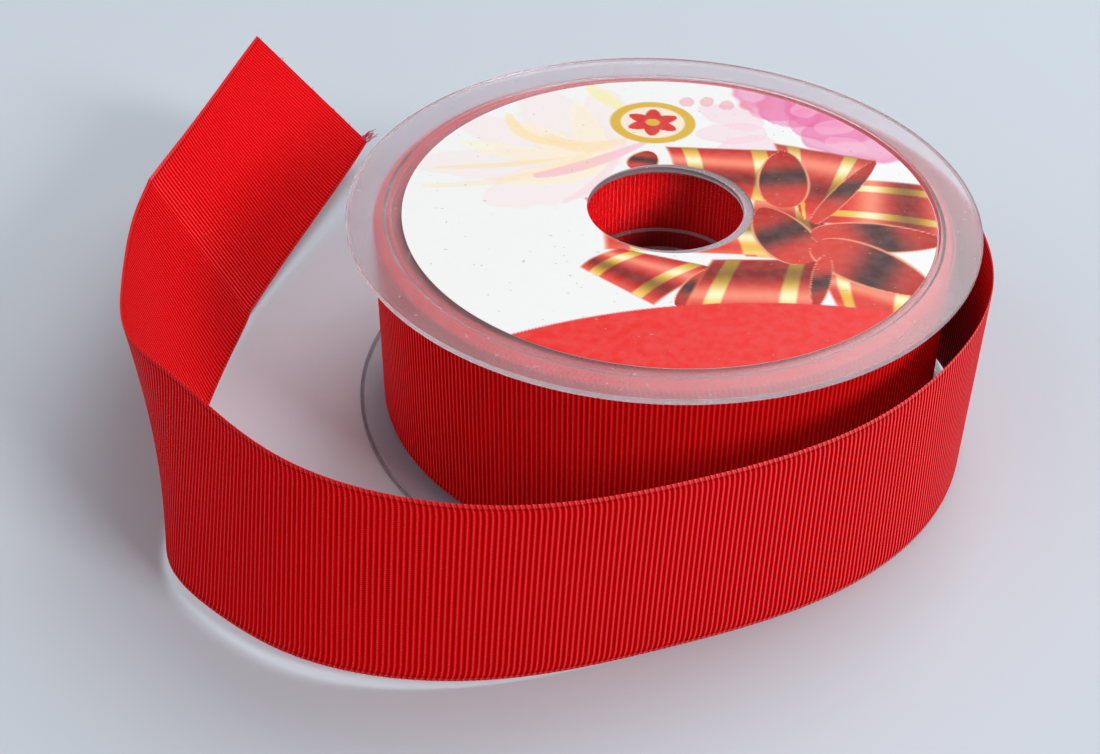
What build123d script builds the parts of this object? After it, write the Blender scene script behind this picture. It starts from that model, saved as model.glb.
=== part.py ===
from build123d import *
from math import cos, degrees, radians, sin
import os

# Ribbon spool: two pressed-together plastic flange halves, the wound ribbon between them and its loose end.
# Millimetres, +Z up. The origin is on the spool's axis, in the plane that it stands on.

# Spool
FLANGE_RADIUS = 60.0
SPOOL_HEIGHT = 43.2
BEAD_HEIGHT = 0.2
BEAD_WIDTH = 0.8
RIM_THICKNESS = 1.05
PLATE_INNER_Z = 1.95
PLATE_OUTER_Z = 0.9
RECESS_TOP_RADIUS = 52.15
RECESS_FLOOR_RADIUS = 51.6
STEP_WALL = 1.05
EYE_RADIUS = 14.95
HUB_OUTER_RADIUS = 18.07
HUB_INNER_RADIUS = 16.87
HUB_JOINT_Z = 21.65
SPIGOT_GAP = 0.05
SPIGOT_TOP_Z = 27.2
SPIGOT_LEAD_IN = 0.4
SPIGOT_INNER_RADIUS = 15.2
BORE_RADIUS = 14.0
BORE_TOP_Z = 23.5

# Printed paper disc in the upper recess
LABEL_RADIUS = 50.6
LABEL_HOLE_RADIUS = 15.9
LABEL_THICKNESS = 0.12
LABEL_SHIFT = 0.9

# Ribbon
RIBBON_WIDTH = 38.1
RIBBON_THICKNESS = 0.3
ROLL_RADIUS = 55.1
ROLL_BOTTOM_Z = (SPOOL_HEIGHT - RIBBON_WIDTH) / 2
TAPE_THICKNESS = 0.1
TAPE_WIDTH = 19.0
TAPE_HEIGHT = 30.0
TAPE_START_ANGLE = -120.0

# The loose end stands on edge. These are the points of its lower edge, from where it leaves the roll,
# clockwise round the spool to the cut, and the points of its upper edge across from them.
LOWER_EDGE = [
    (26.2, 49.2, 2.6),
    (42.4, 37.0, 2.4),
    (53.0, 22.0, 2.1),
    (60.5, 4.5, 1.9),
    (61.0, -12.0, 1.0),
    (54.5, -34.5, 0.3),
    (33.0, -58.8, 0.1),
    (4.5, -73.6, 0.2),
    (-26.5, -84.0, 1.0),
    (-58.5, -81.8, 2.6),
    (-72.3, -73.6, 2.6),
    (-83.6, -61.7, 2.0),
    (-87.0, -45.9, 0.8),
    (-88.0, -29.6, 0.3),
    (-88.3, -13.2, 0.2),
    (-86.5, 14.5, 1.0),
    (-84.0, 30.0, 2.0),
    (-73.2, 82.0, 5.4),
]
UPPER_EDGE = [
    (26.2, 49.2, 40.7),
    (42.6, 37.2, 40.5),
    (54.0, 23.5, 40.1),
    (60.5, 5.0, 39.9),
    (61.5, -12.0, 39.0),
    (53.6, -34.5, 38.4),
    (32.7, -59.0, 38.2),
    (5.7, -74.0, 38.2),
    (-24.3, -83.0, 39.0),
    (-55.5, -77.1, 40.3),
    (-68.1, -67.2, 40.0),
    (-79.5, -55.9, 39.5),
    (-90.4, -44.2, 38.4),
    (-96.1, -29.2, 37.2),
    (-99.6, -13.5, 36.5),
    (-101.5, 9.0, 36.3),
    (-99.8, 26.0, 36.4),
    (-94.6, 72.5, 36.8),
]
END_DIRECTIONS = [(0.883, -0.470, 0), (0.15, 0.98, 0.05)]
STRIP_STEPS = 90  # flat facets along the loose end, each about 4.5 mm long

os.makedirs("parts", exist_ok=True)


def flange_disc():
    """One flange lying on its outer face at z = 0: rim bead, rim, step wall and sunk plate."""
    rim_top = BEAD_HEIGHT + RIM_THICKNESS
    wall_slope = RECESS_TOP_RADIUS - RECESS_FLOOR_RADIUS
    with BuildPart() as disc:
        with BuildSketch(Plane.XZ):
            with BuildLine():
                Polyline(
                    (EYE_RADIUS, PLATE_OUTER_Z),
                    (RECESS_FLOOR_RADIUS, PLATE_OUTER_Z),
                    (RECESS_TOP_RADIUS, BEAD_HEIGHT),
                    (FLANGE_RADIUS - BEAD_WIDTH, BEAD_HEIGHT),
                    (FLANGE_RADIUS - BEAD_WIDTH, 0),
                    (FLANGE_RADIUS, 0),
                    (FLANGE_RADIUS, rim_top),
                    (RECESS_TOP_RADIUS + STEP_WALL, rim_top),
                    (RECESS_TOP_RADIUS + STEP_WALL - wall_slope, PLATE_INNER_Z),
                    (EYE_RADIUS, PLATE_INNER_Z),
                    close=True,
                )
            make_face()
        revolve(axis=Axis.Z)
        bead_edges = disc.edges().filter_by(GeomType.CIRCLE).group_by(Axis.Z)[0]
        fillet(bead_edges, radius=0.1)
        outer_edge = disc.edges().filter_by(GeomType.CIRCLE).filter_by(
            lambda edge: abs(edge.radius - FLANGE_RADIUS) < 0.01 and edge.center().Z > RIM_THICKNESS
        )
        fillet(outer_edge, radius=0.3)
    return disc.part


flange = flange_disc()

with BuildPart() as lower_flange:
    add(flange)
    with BuildSketch(Plane.XY.offset(PLATE_OUTER_Z)):
        Circle(HUB_OUTER_RADIUS)
        Circle(BORE_RADIUS, mode=Mode.SUBTRACT)
    extrude(amount=HUB_JOINT_Z - PLATE_OUTER_Z)
    with BuildSketch(Plane.XY.offset(HUB_JOINT_Z)):
        Circle(HUB_INNER_RADIUS - SPIGOT_GAP)
        Circle(BORE_RADIUS, mode=Mode.SUBTRACT)
    extrude(amount=SPIGOT_TOP_Z - HUB_JOINT_Z)
    with BuildSketch(Plane.XY.offset(BORE_TOP_Z)):
        Circle(SPIGOT_INNER_RADIUS)
    extrude(amount=SPIGOT_TOP_Z - BORE_TOP_Z, mode=Mode.SUBTRACT)
    top_circles = lower_flange.edges().filter_by(GeomType.CIRCLE).group_by(Axis.Z)[-1]
    chamfer(top_circles.sort_by(SortBy.RADIUS)[-1], length=SPIGOT_LEAD_IN)
lower_flange.part.label = "lower_flange"
export_step(lower_flange.part, "parts/lower_flange.step")

with BuildPart() as upper_flange:
    mirror(flange, about=Plane.XY.offset(SPOOL_HEIGHT / 2))
    with BuildSketch(Plane.XY.offset(HUB_JOINT_Z)):
        Circle(HUB_OUTER_RADIUS)
        Circle(HUB_INNER_RADIUS, mode=Mode.SUBTRACT)
    extrude(amount=SPOOL_HEIGHT - PLATE_INNER_Z - HUB_JOINT_Z)
upper_flange.part.label = "upper_flange"
export_step(upper_flange.part, "parts/upper_flange.step")

with BuildPart() as label:
    with BuildSketch(Plane.XY.offset(SPOOL_HEIGHT - PLATE_OUTER_Z)):
        with Locations((LABEL_SHIFT, 0)):
            Circle(LABEL_RADIUS)
            Circle(LABEL_HOLE_RADIUS, mode=Mode.SUBTRACT)
    extrude(amount=LABEL_THICKNESS)
label.part.label = "label"
export_step(label.part, "parts/label.step")

with BuildPart() as ribbon_roll:
    with BuildSketch(Plane.XY.offset(ROLL_BOTTOM_Z)):
        Circle(ROLL_RADIUS)
        Circle(HUB_OUTER_RADIUS + TAPE_THICKNESS, mode=Mode.SUBTRACT)
    extrude(amount=RIBBON_WIDTH)
ribbon_roll.part.label = "ribbon_roll"
export_step(ribbon_roll.part, "parts/ribbon_roll.step")

tape_start = radians(TAPE_START_ANGLE)
tape_plane = Plane(
    origin=(0, 0, 0),
    x_dir=(cos(tape_start), sin(tape_start), 0),
    z_dir=(sin(tape_start), -cos(tape_start), 0),
)
with BuildPart() as core_tape:
    tape_angle = degrees(TAPE_WIDTH / HUB_OUTER_RADIUS)
    with BuildSketch(tape_plane):
        with Locations((HUB_OUTER_RADIUS + TAPE_THICKNESS / 2, SPOOL_HEIGHT / 2)):
            Rectangle(TAPE_THICKNESS, TAPE_HEIGHT)
    revolve(axis=Axis.Z, revolution_arc=tape_angle)
core_tape.part.label = "core_tape"
export_step(core_tape.part, "parts/core_tape.step")


def strip_sections():
    """The corners of the loose end's thin section, at even steps along its edges."""
    low, high = (Edge.make_spline(points, tangents=END_DIRECTIONS) for points in (LOWER_EDGE, UPPER_EDGE))
    low_points = [low @ (step / STRIP_STEPS) for step in range(STRIP_STEPS + 1)]
    high_points = [high @ (step / STRIP_STEPS) for step in range(STRIP_STEPS + 1)]
    sections = []
    for index in range(STRIP_STEPS + 1):
        before, after = max(index - 1, 0), min(index + 1, STRIP_STEPS)
        along = low_points[after] - low_points[before] + high_points[after] - high_points[before]
        facing = (high_points[index] - low_points[index]).cross(along).normalized() * (RIBBON_THICKNESS / 2)
        sections.append(
            [
                low_points[index] - facing,
                low_points[index] + facing,
                high_points[index] + facing,
                high_points[index] - facing,
            ]
        )
    return sections


def flat_face(*corners):
    return Face(Wire.make_polygon(corners, close=True))


def strip_faces(sections):
    """Flat faces round the strip. Both sides split along the same diagonals, so its thickness is even."""
    faces = [flat_face(*sections[0]), flat_face(*sections[-1])]
    for near, far in zip(sections, sections[1:]):
        for first, second in ((0, 3), (1, 2), (0, 1), (3, 2)):
            faces.append(flat_face(near[first], near[second], far[second]))
            faces.append(flat_face(near[first], far[second], far[first]))
    return faces


with BuildPart() as free_ribbon:
    add(Solid(Shell(strip_faces(strip_sections()))))
free_ribbon.part.label = "free_ribbon"
export_step(free_ribbon.part, "parts/free_ribbon.step")

for piece in (lower_flange, upper_flange, label, ribbon_roll, core_tape, free_ribbon):
    box = piece.part.bounding_box()
    print(piece.part.label, round(piece.part.volume, 1), "mm3, z", round(box.min.Z, 2), round(box.max.Z, 2))
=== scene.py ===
import math

import bpy
import numpy as np
from mathutils import Matrix, Vector


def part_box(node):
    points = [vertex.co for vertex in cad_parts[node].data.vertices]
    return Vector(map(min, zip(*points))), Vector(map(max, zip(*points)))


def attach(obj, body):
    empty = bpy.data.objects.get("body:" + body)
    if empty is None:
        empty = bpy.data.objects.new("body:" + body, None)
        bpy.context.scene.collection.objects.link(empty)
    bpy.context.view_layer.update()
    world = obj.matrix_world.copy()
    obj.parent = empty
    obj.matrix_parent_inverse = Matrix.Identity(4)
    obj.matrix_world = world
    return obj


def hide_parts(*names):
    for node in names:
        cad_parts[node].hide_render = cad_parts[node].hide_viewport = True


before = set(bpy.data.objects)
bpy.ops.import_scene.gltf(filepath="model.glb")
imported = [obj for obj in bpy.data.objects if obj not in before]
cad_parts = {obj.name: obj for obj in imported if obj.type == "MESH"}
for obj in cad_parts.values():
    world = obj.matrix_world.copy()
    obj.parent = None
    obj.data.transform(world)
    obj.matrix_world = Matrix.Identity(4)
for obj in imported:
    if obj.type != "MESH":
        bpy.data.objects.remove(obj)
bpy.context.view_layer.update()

# Ribbon spool: metres, +Z up, the origin on the spool's axis in the plane that it stands on.
MM = 0.001

# Ribbon
RIBBON_WIDTH = 38.1 * MM
RIB_PITCH = 0.95 * MM
RIB_STEPS = 5
CREST_HALF_THICKNESS = 0.15 * MM
RIB_DEPTH = 0.085 * MM
SELVEDGE_SCALLOP = 0.12 * MM
SELVEDGE_HOOK = 0.55 * MM
SELVEDGE_REACH = 2.6 * MM
SELVEDGE_CORD = 0.45 * MM, 0.7 * MM  # where its cord ends and the ribs start
SELVEDGE_LINE_AT = 0.85 * MM
SELVEDGE_LINE = 0.08 * MM, 0.26 * MM
TWIST_PITCH = 0.42 * MM

# The section's two ends, as shares of the ribbon's half width
ROUNDED_FROM = 0.985
ROUNDED_OVER = 0.016
SCALLOPED_FROM = 0.97
SCALLOP_MIDDLE = 0.6
END_THICKNESS = 0.25

# Places across the ribbon's width, closer together near the two selvedges
ACROSS = np.array([0, 0.008, 0.02, 0.04, 0.075, 0.5, 0.925, 0.96, 0.98, 0.992, 1])

# Wound turns. The last one is made with the loose end, which lifts off it over the last stretch.
CORE_RADIUS = 18.17 * MM
ROLL_RADIUS = 55.1 * MM
UNDER_LAST_TURN = 54.75 * MM
LIFTING_LENGTH = 26 * MM
TURN_PITCH = 0.31 * MM
TURN_SEGMENTS = 72
TURN_GAP = 0.02 * MM
TURN_EDGE_DRIFT = 0.12 * MM
DRIFT_WAVES = ((1, 2.1, 0), (0.6, 0.73, 1), (0.5, 5.3, 2))  # share, radians a turn, phase
PAYOUT_ANGLE = math.radians(62)
IN_HUB = (1, 2)  # the turns seen through the hub, with fainter painted highlights and painted groove shade
IN_HUB_GLINT_LOST = 0.8
IN_HUB_CALM = 0.7

# The loose end's lower and upper edge, in millimetres, from where it leaves the roll to the cut
LOWER_EDGE = [
    (26.2, 49.2, 2.6),
    (42.4, 37.0, 2.4),
    (53.0, 22.0, 2.1),
    (60.5, 4.5, 1.9),
    (61.0, -12.0, 1.0),
    (54.5, -34.5, 0.3),
    (33.0, -58.8, 0.1),
    (4.5, -73.6, 0.2),
    (-26.5, -84.0, 1.0),
    (-58.5, -81.8, 2.6),
    (-72.3, -73.6, 2.6),
    (-83.6, -61.7, 2.0),
    (-87.0, -45.9, 0.8),
    (-88.0, -29.6, 0.3),
    (-88.3, -13.2, 0.2),
    (-86.5, 14.5, 1.0),
    (-84.0, 30.0, 2.0),
    (-73.2, 82.0, 5.4),
]
UPPER_EDGE = [
    (26.2, 49.2, 40.7),
    (42.6, 37.2, 40.5),
    (54.0, 23.5, 40.1),
    (60.5, 5.0, 39.9),
    (61.5, -12.0, 39.0),
    (53.6, -34.5, 38.4),
    (32.7, -59.0, 38.2),
    (5.7, -74.0, 38.2),
    (-24.3, -83.0, 39.0),
    (-55.5, -77.1, 40.3),
    (-68.1, -67.2, 40.0),
    (-79.5, -55.9, 39.5),
    (-90.4, -44.2, 38.4),
    (-96.1, -29.2, 37.2),
    (-99.6, -13.5, 36.5),
    (-101.5, 9.0, 36.3),
    (-99.8, 26.0, 36.4),
    (-94.6, 72.5, 36.8),
]
LEAVING_DIRECTION = (0.883, -0.470, 0)
TAIL_DIRECTION = (0.15, 0.98, 0.05)

# The tail was once folded along one of its ribs, and the crease still shows
CREASE_ALONG = 333 * MM
CREASE_DEPTH = 0.7 * MM
CREASE_REACH = (3.5 * MM, 8 * MM)  # before and after it
CALM_FROM, CALM_TO = 205 * MM, 265 * MM  # past here the painted shade in the tail's grooves is fainter
GLINT_FULL, GLINT_LOW = 110 * MM, 230 * MM  # painted highlights strongest before the first and weakest past the second
GLINT_LOST = 0.9
WOUND_GLINT = 0.35
TAIL_SHADE = (0.42, 0.12)  # painted shade on the tail, before and after the crease
SLOPE_STEP = 0.3 * MM

# Frayed threads along the cut, and a clumped wisp of them at its lower corner
THREAD_RADIUS = 0.07 * MM
THREAD_SEED = 7
WISP_DIRECTION = (0.62, 0.76, 0.2)

# Printed label
LABEL_RADIUS = 50.6
LABEL_HOLE_RADIUS = 15.9
LABEL_SHIFT = 0.9
LABEL_RINGS = 112
LABEL_SEGMENTS = 840
NEWTON_STEPS = 10
NEWTON_MISS = 0.3
PAPER = (0.945, 0.95, 0.94)
PAPER_BACK = (0.93, 0.93, 0.92)
BOW_RED = (0.87, 0.19, 0.14)
BOW_GOLD = (0.93, 0.7, 0.22)
MEDAL = (-4.5, 32.5)
MEDAL_GOLD = (0.86, 0.7, 0.24)

# Plastic: where its frost begins outside the hub's wall and near its top, and where the hub's ledges end
HUB_WALL = 18.12 * MM, 18.5 * MM
HUB_TOP = 39.6 * MM, 40.6 * MM
HUB_LEDGES = 16.9 * MM, 17.6 * MM
SCRATCHES = ((0.5, (2200, 80, 1600)), (2.0, (2600, 110, 1600)), (1.2, (1900, 70, 1600)))  # turn, stretch

# Camera, from the photograph's perspective
CAMERA_PLACE = Vector((0, -271.4, 210.4)) * MM
CAMERA_YAW = math.radians(0.15)
CAMERA_PITCH = math.radians(37.58)
CAMERA_ROLL = math.radians(3.18)
CAMERA_LENS = 54.64
CAMERA_SENSOR = 36
CAMERA_SHIFT_X = -0.1

# Studio: each lamp's place, size and power
LAMPS = {
    "key": ((0.63, 0.99, 1.53), 1.44, 22),
    "front_right": ((1.44, -0.99, 0.99), 0.54, 21),
    "fill": ((-1.26, -0.9, 1.26), 1.62, 8),
}
LAMP_TARGET = Vector((0, 0, 0.02))
SKY_COLOUR = (0.93, 0.95, 1.0, 1)
SKY_STRENGTH = 0.31
FLOOR_REACH = 8.0

# The ribbon's reds, in linear colour. The groove red is painted shade, the fibre red also paints the tail's
# shade, and the twist red and both shines are painted highlights.
GROOVE_SHADE_RED = (0.30, 0.0004, 0.0012, 1)
CORD_RED = (0.84, 0.0012, 0.003, 1)
TWIST_HIGHLIGHT_RED = (0.97, 0.006, 0.008, 1)
FIBRE_AND_SHADE_RED = (0.52, 0.0006, 0.003, 1)
PATCH_RED = (0.97, 0.003, 0.006, 1)
CREST_SHINE = (1.0, 0.13, 0.15, 1)
LINE_RED = (0.28, 0.0006, 0.002, 1)
CORD_SHINE = (1.0, 0.16, 0.16, 1)


# ---------------------------------------------------------------- mesh helpers

def point_values(piece, name, values):
    """Keeps one number for each of a mesh's points as an attribute."""
    held = piece.data.attributes.new(name, "FLOAT", "POINT")
    held.data.foreach_set("value", np.asarray(values, np.float32))


def mesh_object(name, points, faces, smooth=True, **attributes):
    """A mesh object, with float attributes on its points."""
    mesh = bpy.data.meshes.new(name)
    mesh.from_pydata([tuple(p) for p in points], [], faces)
    mesh.polygons.foreach_set("use_smooth", [smooth] * len(mesh.polygons))
    mesh.update()
    made = bpy.data.objects.new(name, mesh)
    bpy.context.scene.collection.objects.link(made)
    for key, values in attributes.items():
        point_values(made, key, values)
    return made


def tube_faces(rows, ring):
    """Quads for rows of closed rings of points, and an n-gon at each end."""
    index = np.arange(rows * ring).reshape(rows, ring)
    following = np.roll(index, -1, axis=1)
    quads = np.stack([index[:-1], following[:-1], following[1:], index[1:]], axis=-1).reshape(-1, 4)
    return [*quads.tolist(), index[0, ::-1].tolist(), index[-1].tolist()]


def spline_slopes(points, knots, first, last):
    """The slopes of the smooth cubic spline through the points, with the given slopes at its ends."""
    gaps = np.diff(knots)
    count = len(points)
    matrix = np.zeros((count, count))
    right = np.zeros_like(points)
    matrix[0, 0] = matrix[-1, -1] = 1
    right[0], right[-1] = first, last
    for i in range(1, count - 1):
        before, after = 1 / gaps[i - 1], 1 / gaps[i]
        matrix[i, i - 1 : i + 2] = before, 2 * (before + after), after
        right[i] = 3 * ((points[i] - points[i - 1]) * before**2 + (points[i + 1] - points[i]) * after**2)
    return np.linalg.solve(matrix, right)


def spline_places(points, knots, slopes, where):
    """The spline's points at the given distances along it."""
    span = np.clip(np.searchsorted(knots, where, side="right") - 1, 0, len(knots) - 2)
    gap = np.diff(knots)[span][:, None]
    t = (where[:, None] - knots[span][:, None]) / gap
    return (
        points[span] * (1 + 2 * t) * (1 - t) ** 2
        + points[span + 1] * t**2 * (3 - 2 * t)
        + slopes[span] * gap * t * (1 - t) ** 2
        - slopes[span + 1] * gap * t**2 * (1 - t)
    )


def soft_step(value, low, high):
    """0 below low, 1 above high and a smooth rise between them."""
    t = np.clip((value - low) / (high - low), 0, 1)
    return t * t * (3 - 2 * t)


# ---------------------------------------------------------------- ribbon

def rib_profile(phase):
    """Height of the ribs, 0 in a groove and 1 on a crest, for a phase that grows by 1 a rib."""
    part = 2 * (phase % 1) - 1
    return np.sqrt(np.clip(1 - part**2, 0, 1))


def ribbon_rings(middle, facing, rule, along):
    """Rings of points round the ribbon's section, outer face and then inner face, and their rib phases.
    middle, facing and rule (the direction across) are rows x places x 3, and along is in metres."""
    phase = along / RIB_PITCH
    ridge = rib_profile(phase)
    thickness = CREST_HALF_THICKNESS - RIB_DEPTH * (1 - ridge)
    side = (2 * ACROSS - 1)[None, :]
    edge = np.abs(side)
    round_off = np.sqrt(np.clip(1 - np.clip((edge - ROUNDED_FROM) / ROUNDED_OVER, 0, 1) ** 2, 0, 1))
    scallop = (np.sign(side) * (edge > SCALLOPED_FROM)) * SELVEDGE_SCALLOP * (ridge - SCALLOP_MIDDLE)
    body = middle + rule * scallop[..., None]
    bulge = (thickness * (END_THICKNESS + (1 - END_THICKNESS) * round_off))[..., None]
    outer = body + facing * bulge
    inner = body - facing * bulge
    return np.concatenate([outer, inner[:, ::-1]], axis=1), np.concatenate([phase, phase[:, ::-1]], axis=1)


def ribbon_piece(name, rings, phase, places):
    """A run of the ribbon as one object. places says where across the ribbon each point of a ring is."""
    rows, ring = phase.shape
    across = np.tile(np.array(places) * RIBBON_WIDTH, rows)
    faces = tube_faces(rows, ring)
    return mesh_object(name, rings.reshape(-1, 3), faces, rib_phase=phase.ravel(), rib_across=across)


def edge_hook():
    """How far the ribs lean along the ribbon in the last millimetres before each selvedge."""
    from_edge = np.minimum(ACROSS, 1 - ACROSS) * RIBBON_WIDTH
    return SELVEDGE_HOOK * np.clip(1 - from_edge / SELVEDGE_REACH, 0, 1) ** 2


def loose_end():
    """The ribbon's last turn round the roll and the loose end that it runs into, as one piece."""
    low, high = np.array(LOWER_EDGE) * MM, np.array(UPPER_EDGE) * MM
    low_steps, high_steps = (np.linalg.norm(np.diff(edge, axis=0), axis=1) for edge in (low, high))
    knots = np.concatenate([[0], np.cumsum((low_steps + high_steps) / 2)])
    edges = [(p, spline_slopes(p, knots, LEAVING_DIRECTION, TAIL_DIRECTION)) for p in (low, high)]
    turn_radius = ROLL_RADIUS - CREST_HALF_THICKNESS
    leaving_radius, leaving_angle = math.hypot(low[0, 0], low[0, 1]), math.atan2(low[0, 1], low[0, 0])
    turn_length = 2 * math.pi * turn_radius
    length = turn_length + knots[-1]
    start = np.linspace(-turn_length, knots[-1], int(length / RIB_PITCH * RIB_STEPS))
    where = np.clip(start[:, None] + edge_hook()[None, :], -turn_length, knots[-1])

    def surface(at):
        """Points on the ribbon's middle and the lines across it. The last turn is where at is negative."""
        flat = at.ravel()
        radius = turn_radius + (leaving_radius - turn_radius) * soft_step(flat, -LIFTING_LENGTH, 0)
        angle = leaving_angle - np.minimum(flat, 0) / turn_radius
        sides = []
        for points, slopes in edges:
            height = np.full(len(flat), points[0, 2])
            turn = np.stack([radius * np.cos(angle), radius * np.sin(angle), height], axis=1)
            laid = spline_places(points, knots, slopes, np.maximum(flat, 0))
            sides.append(np.where((flat < 0)[:, None], turn, laid).reshape(*at.shape, 3))
        lower, upper = sides
        return lower * (1 - ACROSS)[None, :, None] + upper * ACROSS[None, :, None], upper - lower

    middle, rule = surface(where)
    ahead, behind = (np.clip(where + move, -turn_length, knots[-1]) for move in (SLOPE_STEP, -SLOPE_STEP))
    forward = surface(ahead)[0] - surface(behind)[0]
    rule /= np.linalg.norm(rule, axis=-1, keepdims=True)
    facing = np.cross(rule, forward)
    facing /= np.linalg.norm(facing, axis=-1, keepdims=True)
    past = where - CREASE_ALONG
    reach = np.where(past < 0, *CREASE_REACH)
    middle += facing * (CREASE_DEPTH * np.exp(-np.abs(past) / reach))[..., None]
    rings, phase = ribbon_rings(middle, facing, rule, np.repeat(start[:, None], len(ACROSS), axis=1))
    places = [*ACROSS, *ACROSS[::-1]]
    piece = ribbon_piece("loose_ribbon", rings, phase, places)
    past = start - CREASE_ALONG
    # Painted highlights along the ribbon: fainter on the last turn and towards the tail, and stronger again
    # just past the crease
    glint = 1 - GLINT_LOST * soft_step(start, GLINT_FULL, GLINT_LOW)
    glint *= WOUND_GLINT + (1 - WOUND_GLINT) * soft_step(start, 0, GLINT_FULL / 2)
    glint += GLINT_LOST * np.exp(-np.abs(past) / CREASE_REACH[1]) * (past > 0)
    # Painted shade: the tail's groove shade eases, and the tail is darkened, more before the crease than
    # after it
    calm = soft_step(start, CALM_FROM, CALM_TO)
    shade = calm * np.where(past < 0, *TAIL_SHADE)
    for name, values in (("glint", glint), ("calm", calm), ("shade", shade)):
        point_values(piece, name, np.repeat(values, len(places)))
    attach(piece, "ribbon_end")
    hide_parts("free_ribbon")
    return piece, length


def wound_turns():
    """The turns on the hub under the last one, as one spiral with real edges."""
    turns = (UNDER_LAST_TURN - 2 * CREST_HALF_THICKNESS - CORE_RADIUS) / TURN_PITCH
    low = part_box("ribbon_roll")[0].z
    first_radius = CORE_RADIUS + CREST_HALF_THICKNESS
    turn = np.linspace(0, turns, int(turns * TURN_SEGMENTS))[:, None]
    angle = PAYOUT_ANGLE + 2 * math.pi * (turns - turn)
    waves = sum(share * np.sin(turn * rate + phase) for share, rate, phase in DRIFT_WAVES)
    drift = TURN_EDGE_DRIFT * waves / sum(share for share, _, _ in DRIFT_WAVES)
    grow = np.array([[1, 1, -1, -1]]) * (CREST_HALF_THICKNESS - TURN_GAP)
    height = low + np.array([[0, 1, 1, 0]]) * RIBBON_WIDTH + drift
    radius = first_radius + TURN_PITCH * turn + grow
    rings = np.stack([radius * np.cos(angle), radius * np.sin(angle), height], axis=-1)
    length = 2 * math.pi * (first_radius * turn + TURN_PITCH * turn**2 / 2)
    piece = ribbon_piece("wound_ribbon", rings, np.repeat(length / RIB_PITCH, 4, axis=1), (0, 1, 1, 0))
    # Through the hub the turns get fainter painted highlights and fainter painted groove shade
    in_hub = np.repeat(1 - soft_step(turn[:, 0], *IN_HUB), 4)
    point_values(piece, "glint", WOUND_GLINT * (1 - IN_HUB_GLINT_LOST * in_hub))
    point_values(piece, "calm", IN_HUB_CALM * in_hub)
    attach(piece, "spool")
    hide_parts("ribbon_roll")
    return piece, length[-1, 0]


def frayed_threads():
    """Short warp threads along the cut, and a small clumped wisp of them at its lower corner."""
    low, high = np.array(LOWER_EDGE[-1]) * MM, np.array(UPPER_EDGE[-1]) * MM
    rng = np.random.default_rng(THREAD_SEED)
    curve = bpy.data.curves.new("frayed_threads", "CURVE")
    curve.dimensions = "3D"
    curve.bevel_depth = THREAD_RADIUS
    curve.bevel_resolution = 2
    out = np.array(TAIL_DIRECTION)

    def tuft(count, shares, sunk, reaches, direction, spread, bends):
        """Threads at random shares of the cut's height, each more bent towards its tip, in millimetres."""
        for share in rng.uniform(*shares, count):
            root = low + (high - low) * share - out * sunk * MM
            reach = rng.uniform(*reaches) * MM
            bend = rng.normal(0, spread, (len(bends), 3)) * MM * np.array(bends)[:, None]
            steps = [direction * reach * (k + 1) / len(bends) + bend[k] for k in range(len(bends))]
            spline = curve.splines.new("NURBS")
            spline.points.add(len(steps))
            for held, point in zip(spline.points, [root] + [root + step for step in steps]):
                held.co = (*point, 1)
            spline.order_u = 3
            spline.use_endpoint_u = True

    tuft(26, (0.02, 0.98), 0.4, (0.5, 1.1), out, 0.25, (0.2, 0.6, 1.0))
    tuft(30, (0.0, 0.055), 0.6, (1.6, 4.2), np.array(WISP_DIRECTION), 0.32, (0.1, 0.5, 0.9, 1.3))
    drawn = bpy.data.objects.new("thread_lines", curve)
    piece = bpy.data.objects.new("frayed_threads", bpy.data.meshes.new_from_object(drawn))
    bpy.data.objects.remove(drawn)
    bpy.context.scene.collection.objects.link(piece)
    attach(piece, "ribbon_end")
    return piece


# ---------------------------------------------------------------- printed label

def lay(colours, mask, colour):
    """Paints one colour, or a colour for each point, over the others."""
    share = np.clip(mask, 0, 1)[:, None]
    colours[:] = colours * (1 - share) + np.asarray(colour, float) * share


def petal(x, y, centre, angle, length, width):
    """(place along, place across) of each point in a petal's own frame, 1 at its tip and at its sides."""
    turn = math.radians(angle)
    dx, dy = x - centre[0], y - centre[1]
    along = (dx * math.cos(turn) + dy * math.sin(turn)) / length
    side = (dy * math.cos(turn) - dx * math.sin(turn)) / (width / 2)
    bow = np.sqrt(np.clip(np.sin(math.pi * np.clip(along, 0, 1) ** 0.8), 0, 1))
    return along, side / np.maximum(bow, 0.02)


def wash(colours, x, y, centre, angle, length, width, colour, strength):
    """A soft watercolour petal with a slightly stronger rim."""
    along, side = petal(x, y, centre, angle, length, width)
    wobble = 0.06 * np.sin(x * 0.9 + y * 0.5) + 0.05 * np.sin(y * 1.3 - x * 0.4)
    body = 1 - soft_step(np.abs(side) + wobble, 0.8, 1.05)
    rim = np.exp(-(((np.abs(side) + wobble) - 0.85) / 0.12) ** 2)
    inside = (along > 0) & (along < 1)
    lay(colours, inside * strength * np.clip(body * 0.75 + rim * 0.3, 0, 1), colour)


def sweep(colours, x, y, points, width, colour, strength):
    """A tapering brush stroke along a bent line of three points."""
    start, bend, end = (np.array(p, float) for p in points)
    best = np.full(len(x), 1e9)
    for t in np.linspace(0, 1, 40):
        place = start * (1 - t) ** 2 + 2 * bend * t * (1 - t) + end * t**2
        taper = 0.25 + 0.75 * math.sin(math.pi * min(0.15 + 0.85 * t, 1))
        best = np.minimum(best, np.hypot(x - place[0], y - place[1]) / (width / 2 * taper))
    lay(colours, strength * (1 - soft_step(best, 0.75, 1.1)), colour)


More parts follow.
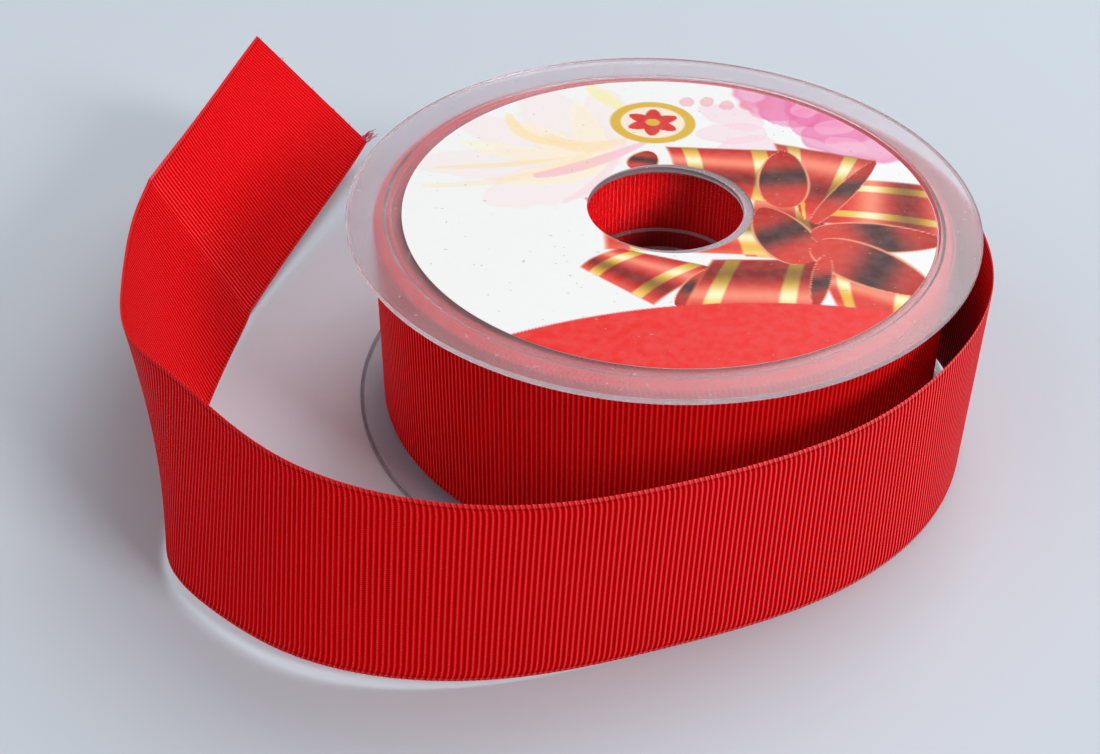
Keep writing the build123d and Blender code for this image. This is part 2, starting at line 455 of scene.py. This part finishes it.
def patch_places(x, y, corners):
    """(u, v) of each point in a four-cornered patch, 0 to 1 inside it, found by Newton's method.
    u runs from the first corner to the second, and v from the first to the last. Elsewhere u is -1."""
    p, q, r, s = (np.array(corner, float)[:, None] for corner in corners)
    here = np.stack([x, y])
    u, v = np.full((2, len(x)), 0.5)
    for _ in range(NEWTON_STEPS):
        miss = p * (1 - u) * (1 - v) + q * u * (1 - v) + r * u * v + s * (1 - u) * v - here
        by_u = (q - p) * (1 - v) + (r - s) * v
        by_v = (s - p) * (1 - u) + (r - q) * u
        area = by_u[0] * by_v[1] - by_u[1] * by_v[0]
        area = np.where(np.abs(area) < 1, np.copysign(1, area), area)
        u = np.clip(u - (miss[0] * by_v[1] - miss[1] * by_v[0]) / area, -0.6, 1.6)
        v = np.clip(v - (miss[1] * by_u[0] - miss[0] * by_u[1]) / area, -0.6, 1.6)
    return np.where(np.hypot(*miss) < NEWTON_MISS, u, -1), v


def bow_band(colours, x, y, corners, sheen_at, dark_at, bulge):
    """A glossy fold of a printed bow's ribbon, with a gold stripe near each selvedge."""
    u, v = patch_places(x, y, corners)
    u = u + bulge * 4 * v * (1 - v)
    inside = soft_step(np.minimum(np.minimum(u, 1 - u), np.minimum(v, 1 - v)), 0, 0.035)
    sheen = np.exp(-(((v - sheen_at) / 0.13) ** 2)) + 0.5 * np.exp(-(((v - 0.97) / 0.09) ** 2))
    shade = 1 - 0.4 * np.exp(-(((v - dark_at) / 0.15) ** 2)) - 0.2 * np.exp(-((v / 0.1) ** 2))
    red = shade[:, None] * np.array(BOW_RED) + sheen[:, None] * np.array([0.1, 0.36, 0.3])
    gold = shade[:, None] * np.array(BOW_GOLD) + sheen[:, None] * np.array([0.07, 0.26, 0.55])
    lay(colours, inside, np.clip(red, 0, 1))
    for middle in (0.2, 0.76):
        lay(colours, inside * (1 - soft_step(np.abs(u - middle), 0.055, 0.075)), np.clip(gold, 0, 1))
    edge = 1 - soft_step(np.minimum(u, 1 - u), 0.02, 0.045)
    lay(colours, 0.5 * inside * edge, (0.95, 0.62, 0.45))


def bow_hollow(colours, x, y, start, angle, length, width):
    """The dark inside of one of the bow's loops, with a thin pale edge."""
    along, side = petal(x, y, start, angle, length, width)
    within = (along > 0) & (along < 1)
    lay(colours, within * (1 - soft_step(np.abs(side), 1.0, 1.1)), (0.93, 0.62, 0.48))
    depth = 0.9 * np.exp(-(((along - 0.54 + 0.06 * side) / 0.17) ** 2))
    red = np.array([0.84, 0.25, 0.19]) - 0.14 * soft_step(along, 0.6, 1)[:, None]
    inner = red * (1 - depth)[:, None] + depth[:, None] * np.array([0.22, 0.15, 0.15])
    lay(colours, within * (1 - soft_step(np.abs(side), 0.92, 0.98)), inner)


def label_print(x, y):
    """The label's printed colours in sRGB, for points in millimetres from the label's middle."""
    colours = np.tile(PAPER, (len(x), 1))
    flower = (-14, 13)
    for angle, length, width in ((150, 34, 15), (118, 36, 17), (182, 38, 13), (92, 33, 13), (215, 26, 16)):
        wash(colours, x, y, flower, angle, length, width, (0.97, 0.875, 0.87), 0.5)
    for angle, length, width in ((136, 24, 7), (166, 30, 6), (104, 28, 7), (200, 20, 7)):
        wash(colours, x, y, flower, angle, length, width, (0.98, 0.94, 0.8), 0.7)
    sweep(colours, x, y, ((-47, 3), (-22, 6), (-12, 26)), 2.6, (0.98, 0.88, 0.72), 0.45)
    sweep(colours, x, y, ((-46, 10), (-30, 12), (-20, 17)), 2.0, (0.98, 0.87, 0.62), 0.5)
    sweep(colours, x, y, ((-34, 32), (-31, 20), (-18, 22)), 3.2, (0.98, 0.88, 0.62), 0.6)
    sweep(colours, x, y, ((-25, 24), (-17, 17), (-9, 26)), 4.6, (0.98, 0.86, 0.66), 0.5)
    sweep(colours, x, y, ((-26, 9), (-16, 13), (-4, 26)), 3.6, (0.95, 0.7, 0.76), 0.6)
    sweep(colours, x, y, ((-20, 0), (-12, 8), (-10, 24)), 2.4, (0.97, 0.8, 0.83), 0.4)
    sweep(colours, x, y, ((-18, 46), (-15, 42), (-10, 36)), 4.4, (0.97, 0.93, 0.62), 0.6)
    for centre, angle in (((22, 34), 70), ((24, 33), 20), ((25, 36), 45), ((22, 36), 100), ((26, 31), -8)):
        wash(colours, x, y, centre, angle, 27, 17, (0.9, 0.38, 0.62), 0.62)
    for centre, angle in (((29, 33), 20), ((26, 38), 70), ((31, 29), -20)):
        wash(colours, x, y, centre, angle, 9, 6, (0.97, 0.74, 0.82), 0.6)
    for centre, angle in (((19, 31), 190), ((18, 33), 150), ((20, 28), 215)):
        wash(colours, x, y, centre, angle, 15, 9, (0.96, 0.8, 0.85), 0.6)
    for k in range(5):
        bud = (2 + 4.2 * k, 40 + 0.6 * math.sin(2 * k))
        wash(colours, x, y, bud, 80, 4.2, 3.2, (0.92, 0.52, 0.58), 0.55)

    # Each fold's corners: one selvedge runs from the 1st to the 4th and the other from the 2nd to the 3rd
    bow_hollow(colours, x, y, (-7, 13), 72, 8, 6)
    bow_band(colours, x, y, ((12, 9), (30, 9), (33, -16), (14, -16)), 0.2, 0.5, 0.1)
    bow_band(colours, x, y, ((30, 13.5), (27, -3), (52, -6), (52, 13)), 0.42, 0.72, 0.05)
    bow_band(colours, x, y, ((20, 27), (41, 22), (28, -4), (25, -2)), 0.22, 0.55, 0.0)
    bow_hollow(colours, x, y, (27, -3), 61, 28, 4)
    bow_band(colours, x, y, ((-2, 23), (23, 24), (22, 3), (0, 6)), 0.3, 0.6, -0.04)
    bow_band(colours, x, y, ((-17, 2), (19, 1), (25, -15), (-12, -16)), 0.62, 0.4, -0.03)
    bow_band(colours, x, y, ((-9, -15), (10, -20), (-2, -33), (-16, -22)), 0.3, 0.66, 0.05)
    bow_hollow(colours, x, y, (10, -20), 238, 15, 6)
    bow_band(colours, x, y, ((8, -17), (29, -15), (27, -38), (2, -38)), 0.55, 0.22, 0.03)
    bow_band(colours, x, y, ((28, -14), (50, -20), (44, -38), (30, -30)), 0.5, 0.2, 0.05)
    bow_hollow(colours, x, y, (21.5, 2), 88, 21.5, 10)
    bow_hollow(colours, x, y, (25, -17), 112, 20, 11)
    bow_hollow(colours, x, y, (26.5, -7), 0, 25, 10)
    bow_hollow(colours, x, y, (27, -10), -35, 25, 12.5)
    bow_hollow(colours, x, y, (29, -14), 261, 17, 3.6)

    medal = np.hypot(x - MEDAL[0], (y - MEDAL[1]) * 1.02)
    lay(colours, 1 - soft_step(medal, 8.6, 9.0), MEDAL_GOLD)
    lay(colours, 1 - soft_step(medal, 6.4, 6.8), (0.97, 0.9, 0.82))
    for k in range(6):
        along, side = petal(x, y, MEDAL, 60 * k + 30, 5.6, 3.6)
        within = (along > 0) & (along < 1)
        lay(colours, within * (1 - soft_step(np.abs(side), 0.85, 1.0)), (0.84, 0.2, 0.18))
    lay(colours, 1 - soft_step(medal, 1.3, 1.7), MEDAL_GOLD)

    below = np.hypot(x - 25.5, y + 133.2) - 103.4
    lay(colours, 1 - soft_step(below, -0.15, 0.15), (0.92, 0.17, 0.15))
    return colours


def to_linear(colours):
    """sRGB colours as linear ones."""
    bright = ((np.clip(colours, 0.04045, 1) + 0.055) / 1.055) ** 2.4
    return np.where(colours <= 0.04045, colours / 12.92, bright)


def printed_label():
    """The paper disc, as a fine grid of points that carry its print, with a plain underside."""
    bottom, top = (corner.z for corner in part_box("label"))
    radii = np.linspace(LABEL_HOLE_RADIUS, LABEL_RADIUS, LABEL_RINGS)
    angles = np.linspace(0, 2 * math.pi, LABEL_SEGMENTS, endpoint=False)
    radii = np.append(radii, radii[[-1, 0]])
    heights = np.append(np.full(LABEL_RINGS, top), [bottom, bottom])
    x = (radii[:, None] * np.cos(angles)[None, :]).ravel()
    y = (radii[:, None] * np.sin(angles)[None, :]).ravel()
    z = np.repeat(heights, LABEL_SEGMENTS)
    index = np.arange(len(x)).reshape(len(radii), LABEL_SEGMENTS)
    here, outward = index, np.roll(index, -1, axis=0)
    quads = np.stack([here, outward, np.roll(outward, -1, axis=1), np.roll(here, -1, axis=1)], axis=-1)
    made = mesh_object(
        "printed_label",
        np.stack([x * MM + LABEL_SHIFT * MM, y * MM, z], axis=1),
        quads.reshape(-1, 4).tolist(),
        smooth=False,
    )
    colours = np.tile(PAPER_BACK, (len(x), 1))
    on_top = np.arange(len(x)) < LABEL_RINGS * LABEL_SEGMENTS
    colours[on_top] = label_print(x[on_top], y[on_top])
    held = made.data.attributes.new("print", "FLOAT_COLOR", "POINT")
    opaque = np.column_stack([to_linear(colours), np.ones(len(x))])
    held.data.foreach_set("color", opaque.astype(np.float32).ravel())
    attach(made, "spool")
    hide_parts("label")
    return made


# ---------------------------------------------------------------- materials

class Shader:
    """A material's node tree, built a node at a time.
    An input is a number, a colour or another node's output."""

    def __init__(self, name):
        self.material = bpy.data.materials.new(name)
        self.material.use_nodes = True
        self.tree = self.material.node_tree
        self.tree.nodes.clear()

    def node(self, kind, inputs=None, **settings):
        made = self.tree.nodes.new("ShaderNode" + kind)
        for key, value in settings.items():
            setattr(made, key, value)
        for key, value in (inputs or {}).items():
            if isinstance(value, bpy.types.NodeSocket):
                self.tree.links.new(value, made.inputs[key])
            else:
                made.inputs[key].default_value = value
        return made

    def math(self, operation, first, second=0.0, clamp=False):
        return self.node("Math", {0: first, 1: second}, operation=operation, use_clamp=clamp).outputs[0]

    def wave(self, angle):
        """A sine wave between 0 and 1."""
        return self.math("ADD", self.math("MULTIPLY", self.math("SINE", angle), 0.5), 0.5)

    def mix(self, share, first, second):
        made = self.node("Mix", {0: share, 6: first, 7: second}, data_type="RGBA")
        return made.outputs[2]

    def attribute(self, name, output="Fac"):
        return self.node("Attribute", attribute_name=name).outputs[output]

    def noise(self, scale, detail=2.0, where=None):
        inputs = {"Scale": scale, "Detail": detail}
        inputs["Vector"] = where or self.node("TexCoord").outputs["Object"]
        return self.node("TexNoise", inputs).outputs["Fac"]

    def ramp(self, value, low, high):
        """0 below low, 1 above high."""
        inputs = {"Value": value, "From Min": low, "From Max": high}
        return self.node("MapRange", inputs).outputs["Result"]

    def finish(self, surface):
        self.node("OutputMaterial", {"Surface": surface})
        return self.material


def ribbon_material():
    """Ribbed polyester: thick cords across the ribbon with painted shade in the grooves between them and a
    fine twist.
    """
    s = Shader("grosgrain_red")
    phase = s.attribute("rib_phase")
    place = s.attribute("rib_across")
    calm = s.attribute("calm")
    glint = s.attribute("glint")
    crest = s.math("ABSOLUTE", s.math("SINE", s.math("MULTIPLY", phase, math.pi)))
    turns = s.math("MULTIPLY", place, 2 * math.pi / TWIST_PITCH)
    twist = s.math("MULTIPLY", s.wave(s.math("ADD", turns, s.math("MULTIPLY", phase, 3.5))), crest)
    fibre = s.noise(1400, 3)
    patches = s.noise(35, 2)
    # Painted shade in the grooves, eased where calm is high
    body = s.math("MAXIMUM", s.ramp(crest, 0.3, 0.98), s.math("MULTIPLY", calm, 0.75))
    colour = s.mix(body, GROOVE_SHADE_RED, CORD_RED)
    # Painted highlights on the twist's beads along each crest
    colour = s.mix(s.math("MULTIPLY", twist, 0.3), colour, TWIST_HIGHLIGHT_RED)
    colour = s.mix(s.math("MULTIPLY", s.ramp(fibre, 0.35, 0.75), 0.25), colour, FIBRE_AND_SHADE_RED)
    colour = s.mix(s.math("MULTIPLY", s.ramp(patches, 0.3, 0.7), 0.12), colour, PATCH_RED)
    # Painted shade on the tail
    colour = s.mix(s.attribute("shade"), colour, FIBRE_AND_SHADE_RED)
    # Painted highlights on the crests, as strong as glint says
    lit = s.math("MULTIPLY", s.ramp(crest, 0.86, 1.0), s.math("ADD", s.math("MULTIPLY", twist, 0.65), 0.35))
    colour = s.mix(s.math("MULTIPLY", s.math("MULTIPLY", lit, glint), 0.8), colour, CREST_SHINE)

    # The selvedge: a thin cord with painted highlight speckles, and a dark line inside it
    from_edge = s.math("MINIMUM", place, s.math("SUBTRACT", RIBBON_WIDTH, place))
    beside = s.math("ABSOLUTE", s.math("SUBTRACT", from_edge, SELVEDGE_LINE_AT))
    line = s.math("SUBTRACT", 1.0, s.ramp(beside, *SELVEDGE_LINE))
    colour = s.mix(s.math("MULTIPLY", line, 0.55), colour, LINE_RED)
    cord = s.math("SUBTRACT", 1.0, s.ramp(from_edge, *SELVEDGE_CORD))
    cord_highlight = s.math("MULTIPLY", cord, s.wave(s.math("MULTIPLY", phase, 4 * math.pi)))
    cord_highlight = s.math("MULTIPLY", cord_highlight, s.math("ADD", s.math("MULTIPLY", glint, 0.5), 0.1))
    colour = s.mix(cord_highlight, colour, CORD_SHINE)

    height = s.math("ADD", s.math("MULTIPLY", crest, 0.6), s.math("MULTIPLY", twist, 0.8))
    height = s.math("ADD", height, s.math("MULTIPLY", fibre, 0.25))
    bump = s.node("Bump", {"Height": height, "Distance": 0.09 * MM, "Strength": 0.7}).outputs[0]
    surface = {
        "Base Color": colour,
        "Roughness": s.math("ADD", s.math("MULTIPLY", fibre, 0.15), 0.3),
        "Specular IOR Level": s.math("MULTIPLY", lit, 0.42),
        "Specular Tint": (1.0, 0.62, 0.68, 1),
        "Normal": bump,
    }
    return s.finish(s.node("BsdfPrincipled", surface).outputs[0])


def frosted_material():
    """Frosted see-through plastic with a fine grain, specks and short scratches. It lets lamplight through.
    The hub's polished wall is clear, and its ledges and its top are frosted."""
    s = Shader("frosted_plastic")
    where = s.node("TexCoord").outputs["Object"]
    split = s.node("SeparateXYZ", {0: where}).outputs
    squares = s.math("ADD", s.math("POWER", split[0], 2), s.math("POWER", split[1], 2))
    axis_distance = s.math("SQRT", squares)
    facing = s.node("SeparateXYZ", {0: s.node("NewGeometry").outputs["Normal"]}).outputs[2]
    frost = s.ramp(axis_distance, *HUB_WALL)
    frost = s.math("MAXIMUM", frost, s.ramp(split[2], *HUB_TOP))
    frost = s.math("MAXIMUM", frost, s.ramp(s.math("ABSOLUTE", facing), 0.5, 0.8))
    in_hub = s.math("SUBTRACT", 1.0, s.ramp(axis_distance, *HUB_LEDGES))
    grain = s.noise(2600, 2)
    cloud = s.noise(60, 3)
    specks = s.ramp(s.noise(1500, 0), 0.79, 0.84)
    scratches = None
    for turn, stretch in SCRATCHES:
        inputs = {"Vector": where, "Rotation": (0, 0, turn), "Scale": stretch}
        moved = s.node("Mapping", inputs).outputs[0]
        lines = s.ramp(s.noise(1, 0, moved), 0.8, 0.85)
        scratches = lines if scratches is None else s.math("MAXIMUM", scratches, lines)
    marks = s.math("MAXIMUM", specks, s.math("MULTIPLY", scratches, 0.6), clamp=True)
    haze = s.math("ADD", s.math("MULTIPLY", cloud, 0.06), 0.05)
    haze = s.math("ADD", haze, s.math("MULTIPLY", marks, 0.25), clamp=True)
    haze = s.math("ADD", haze, s.math("MULTIPLY", in_hub, 0.16), clamp=True)
    haze = s.math("MULTIPLY", haze, s.math("ADD", s.math("MULTIPLY", frost, 0.98), 0.02))
    rough = {"Height": grain, "Distance": 0.03 * MM, "Strength": s.math("MULTIPLY", frost, 0.5)}
    bump = s.node("Bump", rough).outputs[0]
    roughness = s.math("ADD", s.math("MULTIPLY", cloud, 0.1), 0.1)
    glassy = {
        # The frosted parts' pinkish base colour is painted red light picked up from the ribbon
        "Base Color": s.mix(frost, (0.86, 0.86, 0.87, 1), (0.79, 0.72, 0.76, 1)),
        "Transmission Weight": s.math("SUBTRACT", 1.0, haze),
        "Roughness": s.math("ADD", s.math("MULTIPLY", frost, roughness), 0.1),
        "IOR": s.math("ADD", s.math("MULTIPLY", frost, 0.25), 1.15),
        "Specular IOR Level": s.math("ADD", s.math("MULTIPLY", frost, 0.1), 0.05),
        "Normal": bump,
    }
    surface = s.node("BsdfPrincipled", glassy).outputs[0]
    lamp_ray = s.node("LightPath").outputs["Is Shadow Ray"]
    passed = s.mix(frost, (0.98, 0.98, 0.98, 1), (0.9, 0.9, 0.91, 1))
    through = s.node("BsdfTransparent", {"Color": passed}).outputs[0]
    return s.finish(s.node("MixShader", {0: lamp_ray, 1: surface, 2: through}).outputs[0])


def paper_material():
    """Glossy printed paper with faint fibres and tiny specks. Its colours are on the label's own points."""
    s = Shader("label_paper")
    fibre = s.noise(500, 4)
    specks = s.ramp(s.noise(1100, 0), 0.825, 0.84)
    colour = s.attribute("print", "Color")
    colour = s.mix(s.math("MULTIPLY", s.ramp(fibre, 0.35, 0.7), 0.05), colour, (0.72, 0.72, 0.74, 1))
    colour = s.mix(s.math("MULTIPLY", specks, 0.45), colour, (0.35, 0.33, 0.33, 1))
    bump = s.node("Bump", {"Height": fibre, "Distance": 0.02 * MM, "Strength": 0.35}).outputs[0]
    body = {
        "Base Color": colour,
        "Roughness": s.math("ADD", s.math("MULTIPLY", fibre, 0.15), 0.3),
        "Specular IOR Level": 0.16,
        "Normal": bump,
    }
    return s.finish(s.node("BsdfPrincipled", body).outputs[0])


def tape_material():
    """Yellowish clear tape on the hub."""
    s = Shader("clear_tape")
    ripple = s.noise(300, 2)
    colour = s.mix(s.ramp(ripple, 0.3, 0.7), (0.66, 0.62, 0.48, 1), (0.76, 0.72, 0.6, 1))
    bump = s.node("Bump", {"Height": ripple, "Distance": 0.02 * MM, "Strength": 0.4}).outputs[0]
    body = {"Base Color": colour, "Roughness": 0.28, "Normal": bump}
    return s.finish(s.node("BsdfPrincipled", body).outputs[0])


def thread_material():
    """Soft loose fibres, a little pinker than the ribbon."""
    s = Shader("loose_thread")
    colour = s.mix(s.noise(700, 2), (0.42, 0.004, 0.03, 1), (0.75, 0.05, 0.12, 1))
    body = {"Base Color": colour, "Roughness": 0.55, "Sheen Weight": 0.6, "Sheen Tint": (1.0, 0.5, 0.7, 1)}
    return s.finish(s.node("BsdfPrincipled", body).outputs[0])


def floor_material():
    """A plain pale table."""
    s = Shader("pale_floor")
    colour = s.mix(s.noise(3, 2), (0.56, 0.62, 0.68, 1), (0.60, 0.66, 0.72, 1))
    body = {"Base Color": colour, "Roughness": 0.7, "Specular IOR Level": 0.2}
    return s.finish(s.node("BsdfPrincipled", body).outputs[0])


def wear(piece, material):
    piece.data.materials.clear()
    piece.data.materials.append(material)


# ---------------------------------------------------------------- studio

def camera():
    """The photograph's camera. It leans by its roll about the line of sight."""
    data = bpy.data.cameras.new("camera")
    data.lens = CAMERA_LENS
    data.sensor_width = CAMERA_SENSOR
    data.shift_x = CAMERA_SHIFT_X
    data.clip_start, data.clip_end = 0.01, 20
    ahead = Vector((math.sin(CAMERA_YAW), math.cos(CAMERA_YAW), 0))
    forward = ahead * math.cos(CAMERA_PITCH) - Vector((0, 0, math.sin(CAMERA_PITCH)))
    level = Vector((math.cos(CAMERA_YAW), -math.sin(CAMERA_YAW), 0))
    upright = level.cross(forward)
    right = level * math.cos(CAMERA_ROLL) + upright * math.sin(CAMERA_ROLL)
    up = upright * math.cos(CAMERA_ROLL) - level * math.sin(CAMERA_ROLL)
    made = bpy.data.objects.new("camera", data)
    turned = Matrix((right, up, -forward)).transposed().to_4x4()
    made.matrix_world = Matrix.Translation(CAMERA_PLACE) @ turned
    bpy.context.scene.collection.objects.link(made)
    bpy.context.scene.camera = made


def lamp(name, place, size, power):
    """A square lamp that points at the spool."""
    data = bpy.data.lights.new(name, "AREA")
    data.size = size
    data.energy = power
    made = bpy.data.objects.new(name, data)
    made.location = place
    made.rotation_mode = "QUATERNION"
    made.rotation_quaternion = (LAMP_TARGET - Vector(place)).to_track_quat("-Z", "Y")
    bpy.context.scene.collection.objects.link(made)


def studio():
    """Soft lamps, a pale sky and a pale floor. The Standard view keeps the saturated reds."""
    bpy.context.scene.view_settings.view_transform = "Standard"
    for name, settings in LAMPS.items():
        lamp(name, *settings)
    world = bpy.data.worlds.new("studio")
    world.use_nodes = True
    background = world.node_tree.nodes["Background"]
    background.inputs["Color"].default_value = SKY_COLOUR
    background.inputs["Strength"].default_value = SKY_STRENGTH
    bpy.context.scene.world = world
    corners = [(FLOOR_REACH * x, FLOOR_REACH * y, 0) for x, y in ((-1, -1), (1, -1), (1, 1), (-1, 1))]
    floor = mesh_object("floor", corners, [(0, 1, 2, 3)], smooth=False)
    wear(floor, floor_material())


# ---------------------------------------------------------------- assembly

camera()
studio()

ribbon_look = ribbon_material()
frosted_look = frosted_material()

loose, loose_length = loose_end()
wound, wound_length = wound_turns()
threads = frayed_threads()
label = printed_label()
wear(loose, ribbon_look)
wear(wound, ribbon_look)
wear(threads, thread_material())
wear(label, paper_material())
wear(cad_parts["upper_flange"], frosted_look)
wear(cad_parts["lower_flange"], frosted_look)
wear(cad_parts["core_tape"], tape_material())
